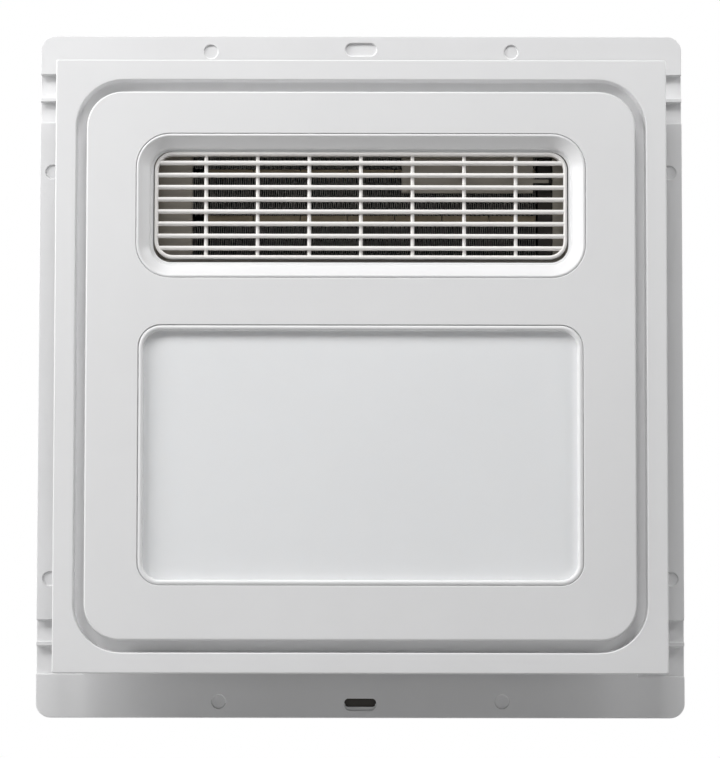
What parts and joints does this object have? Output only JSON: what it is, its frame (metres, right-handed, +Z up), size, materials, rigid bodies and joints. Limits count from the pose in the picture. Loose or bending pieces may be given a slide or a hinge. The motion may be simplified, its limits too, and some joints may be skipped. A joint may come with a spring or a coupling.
{
  "type": "bathroom heater exhaust fan",
  "caption": "Square ceiling bathroom heater and exhaust fan: white panel with an outlet grille over a finned heater, a milky light lens, ceiling flange, steel housing and round duct collar.",
  "frame": {"origin": "centre of the ceiling flange in the ceiling plane, which is the back face of the flange", "axes": "+Y into the ceiling, so the face looks to -Y; +Z up the face as pictured, towards the outlet grille; +X to the right of the face. In use -Y points down into the room."},
  "size_m": [0.458, 0.2425, 0.496],
  "materials": {
    "flange_plastic": "satin",
    "panel_plastic": "satin",
    "grille_plastic": "satin",
    "lens_plastic": "satin",
    "zinc_sheet": "satin",
    "duct_steel": "matte",
    "screw_steel": "satin",
    "plated_steel": "satin",
    "collar_plastic": "satin",
    "flap_plastic": "satin",
    "fin_metal": "matte",
    "tile_ceramic": "matte",
    "dark_plastic": "satin",
    "tab_brass": "satin",
    "damper_plastic": "satin",
    "seal_foam": "matte",
    "fan_plastic": "satin",
    "wheel_plastic": "satin",
    "motor_metal": "satin",
    "grommet_rubber": "matte",
    "tray_metal": "satin",
    "board_white": "satin",
    "board_green": "satin",
    "chip_yellow": "satin",
    "box_plastic": "satin",
    "block_plastic": "satin"
  },
  "bodies": {
    "housing": {"base_flange": "flange_plastic", "slot_plug": "dark_plastic", "flange_screws": "screw_steel", "housing_shell": "zinc_sheet", "hanging_brackets": "zinc_sheet", "bracket_screws": "screw_steel", "duct_collar": "collar_plastic", "collar_screws": "screw_steel", "flap_pin": "plated_steel", "outlet_chamber": "zinc_sheet", "chamber_screws": "screw_steel", "heater_duct": "duct_steel", "outlet_grille": "grille_plastic", "ptc_fins": "fin_metal", "ptc_elements": "tile_ceramic", "heater_left_bracket": "duct_steel", "heater_right_bracket": "dark_plastic", "heater_tabs": "tab_brass", "heater_shield": "duct_steel", "thermal_cutout": "plated_steel", "damper_motor": "motor_metal", "damper_motor_screws": "screw_steel", "damper_bushes": "collar_plastic", "fan_scroll": "fan_plastic", "scroll_cover": "fan_plastic", "scroll_screws": "screw_steel", "fan_motor": "motor_metal", "motor_grommets": "grommet_rubber", "motor_screws": "screw_steel", "motor_standoffs": "zinc_sheet", "light_tray": "tray_metal", "light_straps": "zinc_sheet", "strap_screws": "screw_steel", "light_board": "board_white", "light_chips": "chip_yellow", "light_screws": "screw_steel", "light_driver": "box_plastic", "control_box": "box_plastic", "control_lid": "box_plastic", "control_board": "board_green", "terminal_box": "zinc_sheet", "terminal_lid": "zinc_sheet", "terminal_screws": "screw_steel", "terminal_block": "block_plastic", "cable_gland": "dark_plastic", "gland_nut": "dark_plastic"},
    "panel": {"front_panel": "panel_plastic", "panel_posts": "panel_plastic", "outlet_bezel": "panel_plastic", "lens_frame": "panel_plastic", "light_lens": "lens_plastic"},
    "damper": {"switch_damper": "damper_plastic", "damper_seals": "seal_foam", "damper_shaft": "plated_steel"},
    "flap": {"backdraft_flap": "flap_plastic"},
    "wheel": {"fan_wheel": "wheel_plastic", "motor_shaft": "plated_steel", "wheel_nut": "plated_steel"}
  },
  "joints": [
    {"name": "panel_pull", "type": "slide", "parent": "housing", "child": "panel", "axis": [0, -1, 0], "range_m": [0, 0.016]},
    {"name": "damper_swing", "type": "hinge", "parent": "housing", "child": "damper", "pos_m": [0, 0.0475, 0.18], "axis": [-1, 0, 0], "range_deg": [0, 88]},
    {"name": "flap_swing", "type": "hinge", "parent": "housing", "child": "flap", "pos_m": [0, 0.118, 0.228], "axis": [-1, 0, 0], "range_deg": [0, 75]},
    {"name": "wheel_spin", "type": "hinge", "parent": "housing", "child": "wheel", "pos_m": [-0.012, 0.105, -0.08], "axis": [0, -1, 0], "continuous": true}
  ]
}
